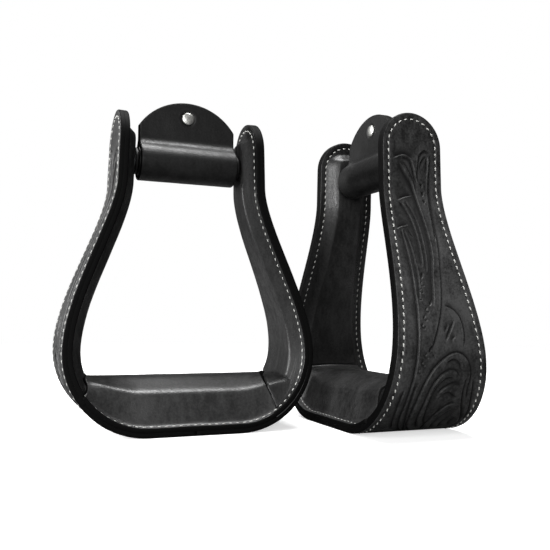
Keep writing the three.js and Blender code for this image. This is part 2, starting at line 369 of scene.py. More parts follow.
# Full-grain strap leather, dyed black and waxed: fine pores, a soft satin gloss that varies where it was
# rubbed, and painted shade in the tooled cuts
def strapLeather(name, look):
    material, tree, coordinates = startMaterial(name)
    pores = addNode(tree, "ShaderNodeTexVoronoi", {"Vector": coordinates, "Scale": 1 / look["grain"]})
    stretch = addNode(tree, "ShaderNodeMapping", {"Vector": coordinates, "Scale": look["streakStretch"]})
    streaks = addNode(tree, "ShaderNodeTexNoise", {
        "Vector": stretch.outputs[0], "Scale": 1 / look["streak"], "Detail": 4.0, "Roughness": 0.62,
    })
    clouds = addNode(tree, "ShaderNodeTexNoise", {
        "Vector": coordinates, "Scale": 1 / look["cloud"], "Detail": 3.0,
    })
    scuffed = addNode(tree, "ShaderNodeTexNoise", {
        "Vector": coordinates, "Scale": 1 / look["speck"], "Detail": 3.0, "Roughness": 0.7,
    })
    tooling = addNode(tree, "ShaderNodeAttribute", attribute_name="tooling").outputs["Fac"]
    mixed = addNode(tree, "ShaderNodeMath", {0: streaks.outputs[0], 1: clouds.outputs[0]}, operation="ADD")
    worn = addNode(tree, "ShaderNodeMath", {0: mixed.outputs[0], 1: scuffed.outputs[0]}, operation="ADD")
    tone = addNode(tree, "ShaderNodeMapRange", {"Value": worn.outputs[0], "From Min": 1.25, "From Max": 1.8})
    dyed = addNode(tree, "ShaderNodeMix", {
        "Factor": tone.outputs[0], 6: linearColour(look["dark"]), 7: linearColour(look["light"]),
    }, data_type="RGBA")
    # Painted shade: where the tooling attribute marks a cut, the colour goes towards a near-black shade colour
    cut = addNode(tree, "ShaderNodeMix", {
        "Factor": tooling, 6: dyed.outputs[2], 7: linearColour(look["recess"]),
    }, data_type="RGBA")
    gloss = addNode(tree, "ShaderNodeMapRange", {
        "Value": worn.outputs[0], "From Min": 1.15, "From Max": 1.85,
        "To Min": look["roughness"] + look["rubbed"], "To Max": look["roughness"] - look["rubbed"],
    })
    rough = addNode(tree, "ShaderNodeMapRange", {
        "Value": tooling, "To Min": gloss.outputs[0], "To Max": look["recessRoughness"],
    })
    grain = addNode(tree, "ShaderNodeMath", {
        0: pores.outputs["Distance"], 1: look["poreDepth"],
    }, operation="MULTIPLY")
    relief = addNode(tree, "ShaderNodeMath", {0: grain.outputs[0], 1: worn.outputs[0]}, operation="ADD")
    bump = addNode(tree, "ShaderNodeBump", {
        "Height": relief.outputs[0], "Strength": look["bump"], "Distance": look["bumpDepth"],
    })
    shader = addNode(tree, "ShaderNodeBsdfPrincipled", {
        "Base Color": cut.outputs[2], "Roughness": rough.outputs[0], "Normal": bump.outputs[0],
        "IOR": 1.5, "Specular IOR Level": look["specular"], "Coat Weight": look["coat"],
        "Coat Roughness": look["coatRoughness"],
    })
    finishMaterial(tree, shader)
    return material


# Waxed polyester thread: bright white with a soft sheen and a fine lay
def threadMaterial(look):
    material, tree, coordinates = startMaterial("waxedPolyesterThread")
    lay = addNode(tree, "ShaderNodeTexNoise", {"Vector": coordinates, "Scale": 1 / look["lay"], "Detail": 2.0})
    tone = addNode(tree, "ShaderNodeMix", {
        "Factor": lay.outputs[0], 6: linearColour(look["dark"]), 7: linearColour(look["light"]),
    }, data_type="RGBA")
    bump = addNode(tree, "ShaderNodeBump", {"Height": lay.outputs[0], "Strength": 0.4, "Distance": 0.0001})
    shader = addNode(tree, "ShaderNodeBsdfPrincipled", {
        "Base Color": tone.outputs[2], "Roughness": 0.55, "Normal": bump.outputs[0], "Sheen Weight": 0.2,
    })
    finishMaterial(tree, shader)
    return material


# Bright nickel plate on a brass rivet: mirror-like with faint hammer marks and rubbing
def nickelMaterial(look):
    material, tree, coordinates = startMaterial("nickelPlate")
    marks = addNode(tree, "ShaderNodeTexNoise", {
        "Vector": coordinates, "Scale": 1 / look["mark"], "Detail": 3.0,
    })
    rough = addNode(tree, "ShaderNodeMapRange", {"Value": marks.outputs[0], "To Min": 0.28, "To Max": 0.5})
    bump = addNode(tree, "ShaderNodeBump", {"Height": marks.outputs[0], "Strength": 0.25, "Distance": 0.0002})
    shader = addNode(tree, "ShaderNodeBsdfPrincipled", {
        "Base Color": linearColour(look["colour"]), "Metallic": 1.0, "Roughness": rough.outputs[0],
        "Normal": bump.outputs[0],
    })
    finishMaterial(tree, shader)
    return material


# Black moulded nylon: matte with a fine moulding grain
def nylonMaterial(look):
    material, tree, coordinates = startMaterial("mouldedNylon")
    grain = addNode(tree, "ShaderNodeTexNoise", {
        "Vector": coordinates, "Scale": 1 / look["grain"], "Detail": 2.0,
    })
    bump = addNode(tree, "ShaderNodeBump", {"Height": grain.outputs[0], "Strength": 0.3, "Distance": 0.0001})
    rough = addNode(tree, "ShaderNodeMapRange", {"Value": grain.outputs[0], "To Min": 0.42, "To Max": 0.6})
    shader = addNode(tree, "ShaderNodeBsdfPrincipled", {
        "Base Color": linearColour(look["colour"]), "Roughness": rough.outputs[0], "Normal": bump.outputs[0],
        "Specular IOR Level": 0.25,
    })
    finishMaterial(tree, shader)
    return material


# Laminated hardwood, sanded and bare: growth bands along the hoop and open pores
def woodMaterial(look):
    material, tree, coordinates = startMaterial("laminatedHardwood")
    waves = addNode(tree, "ShaderNodeTexWave", {
        "Vector": coordinates, "Scale": 1 / look["ring"], "Distortion": 3.0, "Detail": 3.0,
    })
    tone = addNode(tree, "ShaderNodeMix", {
        "Factor": waves.outputs["Fac"], 6: linearColour(look["dark"]), 7: linearColour(look["light"]),
    }, data_type="RGBA")
    bump = addNode(tree, "ShaderNodeBump", {
        "Height": waves.outputs["Fac"], "Strength": 0.2, "Distance": 0.0002,
    })
    shader = addNode(tree, "ShaderNodeBsdfPrincipled", {
        "Base Color": tone.outputs[2], "Roughness": 0.65, "Normal": bump.outputs[0],
    })
    finishMaterial(tree, shader)
    return material


# Zinc-plated steel: a dull blue-white metal with a cloudy plating
def zincMaterial(look):
    material, tree, coordinates = startMaterial("zincPlatedSteel")
    clouds = addNode(tree, "ShaderNodeTexNoise", {
        "Vector": coordinates, "Scale": 1 / look["cloud"], "Detail": 4.0,
    })
    rough = addNode(tree, "ShaderNodeMapRange", {"Value": clouds.outputs[0], "To Min": 0.3, "To Max": 0.55})
    shader = addNode(tree, "ShaderNodeBsdfPrincipled", {
        "Base Color": linearColour(look["colour"]), "Metallic": 1.0, "Roughness": rough.outputs[0],
    })
    finishMaterial(tree, shader)
    return material


# Edge paint on cut leather: dead black and nearly matte, with the fibres just showing
def edgePaintMaterial(look):
    material, tree, coordinates = startMaterial("blackEdgePaint")
    fibres = addNode(tree, "ShaderNodeTexNoise", {
        "Vector": coordinates, "Scale": 1 / look["fibre"], "Detail": 3.0,
    })
    tone = addNode(tree, "ShaderNodeMix", {
        "Factor": fibres.outputs[0], 6: linearColour(look["dark"]), 7: linearColour(look["light"]),
    }, data_type="RGBA")
    bump = addNode(tree, "ShaderNodeBump", {"Height": fibres.outputs[0], "Strength": 0.35, "Distance": 0.0002})
    shader = addNode(tree, "ShaderNodeBsdfPrincipled", {
        "Base Color": tone.outputs[2], "Roughness": 0.7, "Normal": bump.outputs[0],
        "Specular IOR Level": 0.08,
    })
    finishMaterial(tree, shader)
    return material


# Sizes of grain, speck, streak and cloud are in metres, as every size in a material is
# The near-black third colour is painted shade for the tooled cuts, mixed in by their depth
tooledLook = {
    "dark": "#0d0d0d", "light": "#444444", "recess": "#030303",
    "grain": 0.0011, "speck": 0.0016, "streak": 0.0045, "streakStretch": (1.0, 1.0, 0.35), "cloud": 0.03,
    "roughness": 0.42, "rubbed": 0.1, "recessRoughness": 0.85,
    "bump": 0.5, "bumpDepth": 0.00025, "poreDepth": 0.55,
    "specular": 0.4, "coat": 0.04, "coatRoughness": 0.4,
}
# The lining copy's darker colours are painted shade; its lower roughness, bump and specular are the leather's
# own
liningLook = dict(tooledLook, dark="#080808", light="#2c2c2c", roughness=0.36, bump=0.4, specular=0.36)
# The tread copy's lighter colours are painted light on the same black leather
treadLook = dict(liningLook, dark="#121212", light="#3c3c3c", specular=0.5)
# The tab copy's darker light colour is painted shade on the same black leather
tabLook = dict(liningLook, roughness=0.44, light="#1e1e1e", specular=0.26)

edgePaint = edgePaintMaterial({"dark": "#010101", "light": "#070707", "fibre": 0.0008})
coverLeather = strapLeather("bridleLeatherTooled", tooledLook)
liningLeather = strapLeather("liningLeatherPaintedShade", liningLook)
treadLeather = strapLeather("treadLeatherPaintedLight", treadLook)
tabLeather = strapLeather("tabLeatherPaintedShade", tabLook)
thread = threadMaterial({"dark": "#aaaaa6", "light": "#dededa", "lay": 0.0006})
nickel = nickelMaterial({"colour": "#d8d8d4", "mark": 0.0015})
nylon = nylonMaterial({"colour": "#050505", "grain": 0.0006})
wood = woodMaterial({"dark": "#8a5f35", "light": "#c49a66", "ring": 0.02})
zinc = zincMaterial({"colour": "#a3a7ab", "cloud": 0.004})
print("stage: materials ready")

# The tooling on the outer face, drawn once for a side: swivel-knife cuts that are bevelled on one side.
# Each cut is a route of (across, along) points in mm; the bevel is on its left (1) or right (-1),
# and a third number says how many mm a wide, matted background beside the cut takes to fade out.
# Three hooked leaves run down into long stems, a loop leaf ends in heart stamps, and a scroll fills the hip.
tooling = {
    "cutWidth": 0.42, "cutDepth": 0.4, "bevelDepth": 1.0, "fade": 1.7, "fadePower": 1.3,
    "lip": 0.22, "lipAt": 0.9, "lipWidth": 0.5, "step": 0.5, "bends": 16, "fewest": 4, "reach": 8.0,
    "taper": 5.0, "blunt": 0.6, "margin": 0.8, "marginEase": 1.2,
}
hookedLeaves = [
    ([(-15.5, 246.3), (-11, 248.6), (-6.5, 249.8), (-2, 248.5), (1.5, 246)], 1, 4.0),
    ([(-9, 246.6), (-5, 247.4), (-1.5, 245.5), (0.3, 241), (1.6, 235), (3.6, 230)], -1),
    ([(-10.5, 243.6), (-6, 237), (-1, 229.5), (2, 218), (4.2, 206), (5.2, 194), (4.6, 180), (2.6, 171),
      (0.6, 162), (-1.4, 151), (-2.6, 144)], -1, 4.6),
    ([(-7.5, 245), (-3, 238.5), (1, 231), (2.6, 224)], 1),
    ([(-13, 218.2), (-9, 220.3), (-4, 221.8), (0, 222.4)], 1, 4.4),
    ([(-12.6, 217.6), (-9, 214), (-6, 207), (-4.2, 199), (-3.4, 190), (-3.8, 178), (-5, 169.5)], -1, 4.0),
    ([(-8, 217.4), (-5, 214), (-2, 207.5), (-0.4, 199), (0, 188), (-0.8, 176), (-2.6, 166)], -1),
    ([(-18, 197.2), (-14.5, 199.2), (-10.5, 200.4), (-6.5, 201)], 1, 4.0),
    ([(-14.2, 198.2), (-13.6, 186), (-13.4, 172), (-14.2, 156), (-15.2, 140), (-16.8, 122), (-18.8, 104),
      (-20.2, 88), (-20, 74), (-17.4, 63), (-12, 52), (-4, 41)], -1),
    ([(-12.6, 197.4), (-10.8, 190), (-9.8, 181), (-9.6, 168), (-10.6, 156), (-12, 147)], -1),
    ([(-10, 198), (-7.4, 194.4), (-6.2, 189.5)], -1),
]
loopLeaf = [
    ([(15, 251.6), (10.5, 253.2), (7, 251.4), (5, 247.6), (4.2, 242), (3.6, 237.5), (4.6, 233)], 1),
    ([(11.6, 249.4), (8.4, 247.6), (6.4, 244), (5.6, 239.5)], 1),
    ([(11.6, 249.4), (11.2, 243), (10.6, 236)], -1),
    ([(14.2, 250.6), (13.2, 240), (12.7, 226), (12.5, 212), (11.8, 196), (10.8, 184), (8.2, 169), (5.4, 154),
      (2, 140.5), (-2.2, 129.5), (-6.4, 120), (-9.6, 115.6)], 1),
    ([(12.6, 239), (11.4, 222), (11, 204), (10, 190)], 1),
]
veinedLeaf = [
    ([(5, 144.5), (10, 143.2), (14.4, 139), (16.8, 132.5), (17, 125), (15.8, 117.5)], 1),
    ([(6.6, 133.6), (4.4, 130), (2.6, 126.2)], -1),
    ([(11, 135.6), (7, 128.6), (2.6, 121.6)], -1),
    ([(11.4, 125.6), (9, 124.2), (7.2, 121.6)], -1),
    ([(-7.6, 115), (-6, 113.4), (-5.4, 111.2)], -1),
]
hipScroll = [
    ([(-2, 47), (-9.6, 59), (-12.6, 71), (-12.8, 84), (-11, 94.5), (-6, 104.6), (1.4, 111.4), (9.4, 115),
      (15.6, 113.6), (20, 108.6), (22, 101), (21.6, 91), (23.4, 83)], 1),
    ([(2, 52), (-3.6, 61), (-6.6, 72), (-6.6, 84), (-4.8, 93.5), (0.4, 101), (6.4, 104), (11, 103.4),
      (14.4, 99.6)], 1),
    ([(4.6, 56), (-0.6, 65), (-3.4, 75), (-3.8, 85), (-1.6, 93), (3, 98), (7.6, 99.2), (10.8, 97)], -1),
    ([(2.4, 108), (8, 110.8), (13, 108.6), (15, 103.4)], -1),
    ([(0.2, 87.6), (3.4, 91.8), (8.6, 94.6), (13, 95), (17.4, 93.2)], 1),
    ([(1.2, 84), (5, 88.4), (9, 88.8), (12.6, 86.4), (16.4, 85)], -1),
    ([(8, 47), (4.8, 58), (5.4, 68.6), (8.4, 75.6), (12.4, 79.4), (17.4, 80.4)], 1),
    ([(12.6, 49), (9.4, 59), (9.6, 66), (12.8, 72.6), (17.4, 75.4)], -1),
    ([(17.6, 52), (15, 60), (16.2, 67), (20.6, 71.6)], -1),
    ([(23, 56), (20.6, 62), (22.4, 68)], -1),
    ([(19, 99), (18.6, 90), (21, 80), (25.4, 70), (29, 60), (28, 50)], 1),
    ([(24.6, 98), (26.2, 86), (29, 74), (31, 62)], 1),
    ([(-16.6, 96), (-17, 82), (-14.6, 68), (-9, 54), (-3, 43)], -1),
    ([(-24.6, 92), (-25, 78), (-22.4, 64), (-17, 52)], -1),
]
# Stamps as (across, along, turn in degrees), and the sizes of the three stamping tools
heart = {"wide": 1.05, "point": 2.0, "taper": 0.62, "top": 1.4, "lobe": 0.35, "lobes": 2.2,
         "edge": 0.5, "depth": 0.75}
seedTool = {"half": (0.75, 2.1), "size": 1.3, "edge": 0.5, "depth": 0.9}
crescent = {"radius": 1.35, "width": 0.42, "open": 0.75, "fade": 2.6, "depth": 0.9}
heartStamps = [(6.5, 229.2, 0), (7.1, 223.8, 0), (7.6, 218.4, 0)]
seedStamps = [(-6.6, 164.6, -24), (-4.4, 146.4, -32), (-8.4, 117.4, -36)]
crescentStamps = [(-7.6, 158.8, -20), (-9.2, 154.2, -20), (-11.0, 149.6, -20),
                  (-7.4, 141.6, -24), (-9.8, 136.4, -24), (-11.8, 131.4, -24),
                  (-11.2, 113.0, -30), (-13.4, 108.4, -30), (-15.6, 103.6, -30)]


def routePoints(points):
    # Catmull-Rom curve through the points: even samples, their tangents, and how far each is from an end
    p = np.array(points, float)
    p = np.concatenate([[2 * p[0] - p[1]], p, [2 * p[-1] - p[-2]]])
    t = np.linspace(0, 1, tooling["bends"], endpoint=False)[:, None]
    spans = []
    for a, b, c, d in zip(p[:-3], p[1:-2], p[2:-1], p[3:]):
        spans.append(0.5 * (2 * b + (c - a) * t + (2 * a - 5 * b + 4 * c - d) * t ** 2
                            + (3 * b - a - 3 * c + d) * t ** 3))
    line = np.concatenate(spans + [p[-2:-1]])
    run = runsOf(line)
    even = np.linspace(0, run[-1], max(tooling["fewest"], int(run[-1] / tooling["step"])))
    samples = np.stack([np.interp(even, run, line[:, 0]), np.interp(even, run, line[:, 1])], 1)
    return samples, np.gradient(samples, axis=0), np.minimum(even, run[-1] - even)


def cutDepths(along, across, points, bevel, fade=tooling["fade"]):
    # A knife cut: a narrow V, a bevel that fades out on one side, and a slight lip on the other
    samples, tangents, fromEnd = routePoints(points)
    reach = tooling["reach"]
    low = samples.min(0) - reach
    high = samples.max(0) + reach
    near = (across > low[0]) & (across < high[0]) & (along > low[1]) & (along < high[1])
    spots = np.stack([across[near], along[near]], 1)
    gap = (spots[:, :1] - samples[:, 0]) ** 2 + (spots[:, 1:] - samples[:, 1]) ** 2
    nearest = gap.argmin(1)
    distance = np.sqrt(gap[np.arange(len(nearest)), nearest])
    tangent = tangents[nearest]
    offset = spots - samples[nearest]
    side = bevel * np.sign(tangent[:, 0] * offset[:, 1] - tangent[:, 1] * offset[:, 0])
    strength = smooth((fromEnd[nearest] + tooling["blunt"]) / tooling["taper"])
    groove = np.exp(-(distance / tooling["cutWidth"]) ** 2)
    slope = np.where(side > 0, np.exp(-(distance / fade) ** tooling["fadePower"]), groove)
    lip = tooling["lip"] * np.exp(-((distance - tooling["lipAt"]) / tooling["lipWidth"]) ** 2) * (side < 0)
    depth = np.zeros_like(along)
    raised = np.zeros_like(along)
    depth[near] = strength * (tooling["bevelDepth"] * slope + tooling["cutDepth"] * groove)
    raised[near] = strength * lip
    return depth, raised


def heartMark(u, v):
    # Two slopes that meet in a point below and a flat cut above, with a wave across for the two lobes
    edge = np.maximum(np.abs(u) * heart["wide"] - (v + heart["point"]) * heart["taper"], v - heart["top"])
    lobes = heart["lobe"] * np.cos(u * heart["lobes"]) * smooth(1 - edge)
    return smooth(-edge / heart["edge"]) * (heart["depth"] + lobes)


def seedMark(u, v):
    # An ellipse
    wide, tall = seedTool["half"]
    return seedTool["depth"] * smooth((seedTool["size"] - np.hypot(u / wide, v / tall)) / seedTool["edge"])


def crescentMark(u, v):
    # A ring that fades out towards one corner
    ring = np.exp(-((np.hypot(u, v) - crescent["radius"]) / crescent["width"]) ** 2)
    return crescent["depth"] * ring * smooth(crescent["open"] - (u + v) / crescent["fade"])


def stampDepths(along, across):
    depth = np.zeros_like(along)
    for stamps, mark in ((heartStamps, heartMark), (seedStamps, seedMark), (crescentStamps, crescentMark)):
        for y, s, degrees in stamps:
            turn = math.radians(degrees)
            u = (across - y) * math.cos(turn) + (along - s) * math.sin(turn)
            v = (along - s) * math.cos(turn) - (across - y) * math.sin(turn)
            depth = np.maximum(depth, mark(u, v))
    return depth


def tooledRelief(along, across):
    depth = stampDepths(along, across)
    raised = np.zeros_like(along)
    for route in hookedLeaves + loopLeaf + veinedLeaf + hipScroll:
        cut, lip = cutDepths(along, across, *route)
        depth = np.maximum(depth, cut)
        raised = np.maximum(raised, lip)
    fromSewing = fromOutline(along, across) - cover["stitchInset"]
    inside = smooth((fromSewing - tooling["margin"]) / tooling["marginEase"])
    return depth * inside, raised * inside


# The outer cover: leather round the whole bell, in two halves that butt together under the tread
cover = {
    "cols": 168, "tipRows": 26, "sideStep": 0.46, "underStep": 2.6, "tooledFrom": 40.0,
    "rim": 0.9, "backRadius": 0.15, "backing": 0.1,
    # The last number on the next line is the cut depth in mm at which the painted shade in the cuts is full
    "stitchInset": 4.6, "grooveDepth": 0.42, "grooveWidth": 0.75, "fullShadeDepth": 0.8,
    "uneven": {"depth": 0.05, "pitch": 14.0, "waves": 9},
    "matting": {"depth": 0.10, "pitch": 1.6, "waves": 12},
}


def stitchGroove(along, across):
    fromSewing = fromOutline(along, across) - cover["stitchInset"]
    return cover["grooveDepth"] * np.exp(-(fromSewing / cover["grooveWidth"]) ** 2)


def letterOf(hand):
    return "b" if hand > 0 else "a"


def coverPiece(side, hand):
    draw = np.random.default_rng(seed + hand)
    under = np.arange(0.0, cover["tooledFrom"], cover["underStep"])
    upper = np.arange(cover["tooledFrom"], roundStart, cover["sideStep"])
    rows = np.concatenate([under, upper, [roundStart]])
    along, across, outAlong, outAcross = patchRows(rows, cover["cols"], cover["rim"], cover["tipRows"])
    outAlong[0] = 0.0
    outAcross[0, 1:-1] = 0.0
    cut, lip = tooledRelief(along, across)
    uneven = cover["uneven"]["depth"] + ripples(along, across, cover["uneven"], draw)
    matting = cut * ripples(along, across, cover["matting"], draw)
    top = np.maximum(np.maximum(stitchGroove(along, across), cut) + uneven + matting, 0.0) - lip
    thickness = bell["leather"] + cover["backing"]
    rim = {"thickness": thickness, "radius": cover["rim"], "backRadius": cover["backRadius"]}
    patch = (along * hand, across, outAlong * hand, outAcross)
    bottom = np.full_like(top, thickness)
    points, faces, burnish = leatherShell(patch, top, bottom, rim, onBell, thin=True)
    # Painted shade in the cuts: each point's darkening follows its cut depth, clipped to full at the given
    # depth
    recess = np.zeros(len(burnish))
    recess[:top.size] = np.clip(cut / cover["fullShadeDepth"], 0, 1).ravel()
    return meshPiece(f"{side}_cover_leather_{letterOf(hand)}", placed(side, points), faces, coverLeather,
                     f"{side}_stirrup", [f"{side}_outer_cover"],
                     {"burnish": burnish, "tooling": recess})


# The side linings: flat where they are sewn to the cover, raised over the wooden core
lining = {
    "cols": 92, "tipRows": 22, "step": 1.3, "start": 75.0,
    "rampFrom": 5.6, "rampWidth": 7.2, "crownEnd": 9.4, "endRamp": 5.6, "bulge": 0.6,
    "stretch": 34.0, "underlap": 4.5, "tuck": 1.9, "tuckWidth": 2.6, "painted": 0.3,
    "overTo": 106.0, "overEase": 8.0, "coreTop": 10.15, "flat": 1.0, "flatEase": 3.0,
    "uneven": {"depth": 0.1, "pitch": 18.0, "waves": 9},
    "pullMarks": {"depth": 0.16, "pitch": 5.0, "waves": 7}, "pullStretch": 0.08,
}


def liningHeight(along, across):
    # Edge height, plus a smooth ramp in from the edge times a smooth ramp down from the crown's end
    depth = fromOutline(along, across)
    ramp = shouldered((depth - lining["rampFrom"]) / lining["rampWidth"])
    crownTip = sideEnd - lining["crownEnd"]
    ramp = ramp * shouldered((crownTip - np.abs(along)) / lining["endRamp"])
    bulge = lining["bulge"] * np.clip(1 - (across / halfDepth(along)) ** 2, 0, 1)
    return bell["edgeStack"] + (bell["crown"] - bell["edgeStack"] - lining["bulge"] + bulge) * ramp


def liningPiece(side, hand):
    draw = np.random.default_rng(seed + (3 if hand > 0 else 4))
    rows = np.arange(lining["start"], roundStart, lining["step"])
    rows[-1] = roundStart
    along, across, outAlong, outAcross = patchRows(rows, lining["cols"], cover["rim"], lining["tipRows"])
    # The lining starts under the tread cover, so its start follows the seam
    seam = seamRuns(halfDepth(along) - np.abs(across), across)[1 if hand > 0 else 0] * hand
    shift = seam - lining["underlap"] - lining["start"]
    along = along + shift * (1 - smooth((along - lining["start"]) / lining["stretch"]))
    drawn = liningHeight(along, across)
    over = treadHeight(along, across) - tread["lap"]
    drawn = drawn + np.maximum(over - drawn, 0.0) * smooth((lining["overTo"] - along) / lining["overEase"])
    tuck = lining["tuck"] * smooth((seam + lining["tuckWidth"] - along) / lining["tuckWidth"])
    tuck = np.minimum(tuck, np.abs(drawn - lining["coreTop"]))  # stays clear of the wooden hoop's corner
    along = along * hand
    fromSewing = fromOutline(along, across) - cover["stitchInset"]
    inside = smooth((fromSewing - lining["flat"]) / lining["flatEase"])  # flat along the sewing
    body = drawn - tuck + ripples(along, across, lining["uneven"], draw) * inside
    body = body + ripples(along * lining["pullStretch"], across, lining["pullMarks"], draw) * inside
    top = body - stitchGroove(along, across)
    bottom = drawn - tuck - bell["leather"] - bell["pressed"]
    rim = {"thickness": bell["leather"], "radius": cover["rim"], "backRadius": cover["backRadius"]}
    patch = (along, across, outAlong * hand, outAcross)
    points, faces, burnish = leatherShell(patch, top, bottom, rim, onBell)
    tucked = (tuck > lining["tuck"] * lining["painted"]).ravel()
    burnish[:len(tucked)] = tucked  # the cut edge under the seam is painted too
    return meshPiece(f"{side}_lining_leather_{letterOf(hand)}", placed(side, points), faces, liningLeather,
                     f"{side}_stirrup", [f"{side}_lining_{letterOf(hand)}"],
                     {"burnish": burnish, "tooling": np.zeros(len(burnish))})


# The tread cover: drawn over the tread block and sewn along both edges. It laps the lining at its low end;
# at its high end the lining is drawn over it, along a seam that slants from the front edge to the rear one.
tread = {
    "cols": 132, "rows": 150, "height": 36.0, "lap": 1.3, "lapBlend": 6.0, "topFall": 0.4,
    "seamAtEdge": 81.4, "seamAtCrown": 91.3, "seamEase": 7.0,
    "footIn": 5.8, "footShare": 0.8, "shoulderIn": 12.0, "topIn": 27.0, "shoulderShare": 0.7,
    "knots": (0.0, 0.12, 0.5, 0.75, 1.0), "roundings": 14, "steepest": 1.25,
    "curl": 0.3, "curlWidth": 2.2, "curlEase": 4.0, "backRadius": 0.1,
    "firstEnd": 60.0, "settlings": 3, "tableEnd": 110.0, "tableCols": 81, "tableEdge": 0.999,
    "uneven": {"depth": 0.12, "pitch": 20.0, "waves": 9},
}
slantedSeam = {"share": (-1.0, -0.68, -0.3, 0.2, 0.68, 1.0), "along": (55.0, 68.5, 78.0, 85.0, 89.0, 88.0)}


def seamRuns(depth, across):
    # Where the tread cover's two ends lie: an even seam at the low end, and a slanting one at the high end
    rise = smooth((depth - tread["footIn"]) / tread["seamEase"])
    even = tread["seamAtEdge"] + (tread["seamAtCrown"] - tread["seamAtEdge"]) * rise
    slanted = np.interp(across / (depth + np.abs(across)), slantedSeam["share"], slantedSeam["along"])
    return -even, slanted


def treadSection(along, inset):
    # Across the strap: edge, foot of the slope, shoulder, inclined top and middle, read between knots and
    # then averaged round
    cols = along.shape[1]
    turn = np.clip((np.abs(along) - bell["flatHalf"]) / bell["cornerRadius"], 0.0, tread["steepest"])
    flatTop = bell["cornerRadius"] - (bell["cornerRadius"] - tread["height"]) / np.cos(turn)
    lapTop = bell["crown"] + tread["lap"]
    gap = flatTop - lapTop
    middle = lapTop + (gap + np.sqrt(gap * gap + tread["lapBlend"])) / 2 - inset
    edge = bell["edgeStack"] - inset + 0 * along
    width = halfDepth(along)
    across = [
        width - cover["rim"],
        width - tread["footIn"] - inset * tread["footShare"],
        width - tread["shoulderIn"] - inset,
        width - tread["topIn"] - inset,
        0 * width,
    ]
    height = [edge, edge, edge + (middle - edge) * tread["shoulderShare"], middle - tread["topFall"], middle]
    way = np.linspace(-1.0, 1.0, cols)
    shares = [np.interp(1.0 - np.abs(way), tread["knots"], row) for row in np.eye(len(tread["knots"]))]
    fullAcross = np.sign(way) * sum(share * value for share, value in zip(shares, across))
    fullHeight = sum(share * value for share, value in zip(shares, height))
    for _ in range(tread["roundings"]):
        for values in (fullAcross, fullHeight):
            values[:, 1:-1] = 0.25 * values[:, :-2] + 0.5 * values[:, 1:-1] + 0.25 * values[:, 2:]
    return fullAcross, fullHeight


def treadHeight(along, across):
    # The tread's top at any point, from a table over the run and the share of the half depth
    runs = np.arange(0.0, tread["tableEnd"])
    shares = np.linspace(-1.0, 1.0, tread["tableCols"])
    sections = zip(runs, *treadSection(np.repeat(runs[:, None], tread["cols"], 1), 0.0))
    table = np.stack([np.interp(shares * halfDepth(run), line, height) for run, line, height in sections])
    row = np.clip(np.abs(along), 0.0, runs[-1] - 1.0)
    share = np.clip((across / halfDepth(along) + 1.0) / 2.0, 0.0, tread["tableEdge"])
    column = share * (len(shares) - 1)
    low = row.astype(int)
    left = column.astype(int)
    u = row - low
    v = column - left
    near = table[low, left] * (1 - u) + table[low + 1, left] * u
    far = table[low, left + 1] * (1 - u) + table[low + 1, left + 1] * u
    return near * (1 - v) + far * v


def treadGrid():
    # Runs and heights of the tread's top, and its distance from the nearer end. An end depends on the distance
    # from the edge, and the section on the run, so the two are worked out in turns.
    u = np.linspace(0.0, 1.0, tread["rows"])[:, None]
    along = np.repeat(tread["firstEnd"] * (2 * u - 1), tread["cols"], 1)
    across = treadSection(along, 0.0)[0]
    for _ in range(tread["settlings"]):
        low, high = seamRuns(halfDepth(along) - np.abs(across), across)
        along = low + (high - low) * u
        across, height = treadSection(along, 0.0)
    return along, across, height, np.minimum(along - low, high - along)


def treadPiece(side):
    # The top, a wall whose loops move from the top's edge to the underside's, and the underside
    draw = np.random.default_rng(seed + 5)
    along, across, height, fromEnd = treadGrid()
    under, underHeight = treadSection(along, bell["leather"] + bell["pressed"])
    raised = smooth((halfDepth(along) - np.abs(across) - tread["footIn"]) / tread["curlEase"])
    curl = tread["curl"] * np.exp(-fromEnd / tread["curlWidth"]) * raised
    height = height + curl + ripples(along, across, tread["uneven"], draw) - stitchGroove(along, across)
    outAlong = np.zeros_like(along)
    outAcross = np.repeat(np.sign(across[:1]), tread["rows"], 0)
    for row, end in ((0, -1.0), (-1, 1.0)):
        outAlong[row] = end
        outAcross[row, 1:-1] = 0.0
    rings = map(loopOf, (along, across, outAlong, outAcross, height, under, underHeight))
    ringAlong, ringAcross, ringOutAlong, ringOutAcross, ringTop, ringUnder, ringBottom = rings
    radius = cover["rim"]
    back = tread["backRadius"]
    steps = [(radius * (1 - math.cos(a)), radius * math.sin(a)) for a in np.radians(fineness["rimAngles"])]
    steps += [(bell["leather"] - back, radius), (bell["leather"], radius - back)]
    points = [onBell(along, across, height).reshape(-1, 3)]
    for drop, out in steps:
        share = drop / bell["leather"]
        ringWide = ringAcross + (ringUnder - ringAcross) * share + ringOutAcross * out
        ringHeight = ringTop + (ringBottom - ringTop) * share
        points.append(onBell(ringAlong + ringOutAlong * out, ringWide, ringHeight))
    points.append(onBell(along, under, underHeight).reshape(-1, 3))
    start = along.size
    count = len(ringAlong)
    bottomStart = start + len(steps) * count
    numbers = np.arange(start).reshape(along.shape)
    loops = [loopOf(numbers)] + [start + k * count + np.arange(count) for k in range(len(steps))]
    loops.append(loopOf(numbers + bottomStart))
    faces = [gridFaces(*along.shape), gridFaces(*along.shape, bottomStart)[:, ::-1]] + wallFaces(loops)
    burnish = np.zeros(bottomStart + start)
    burnish[start:bottomStart] = 1.0
    return meshPiece(f"{side}_tread_leather", placed(side, np.concatenate(points)),
                     np.concatenate(faces).tolist(), treadLeather, f"{side}_stirrup",
                     [f"{side}_tread_cover"], {"burnish": burnish, "tooling": np.zeros(len(burnish))})


# The block under the tread cover: its top follows the cover's underside, its foot stands on the hoop
block = {
    "low": -58.0, "high": 48.0, "foot": 10.2, "thinnest": 1.0, "clear": 0.4, "edgeIn": 15.5,
    "endGap": 2.0, "endEase": 15.0, "rows": 60, "cols": 40,
    "rim": {"thickness": 1.0, "radius": 0.3, "backRadius": 0.1},
}


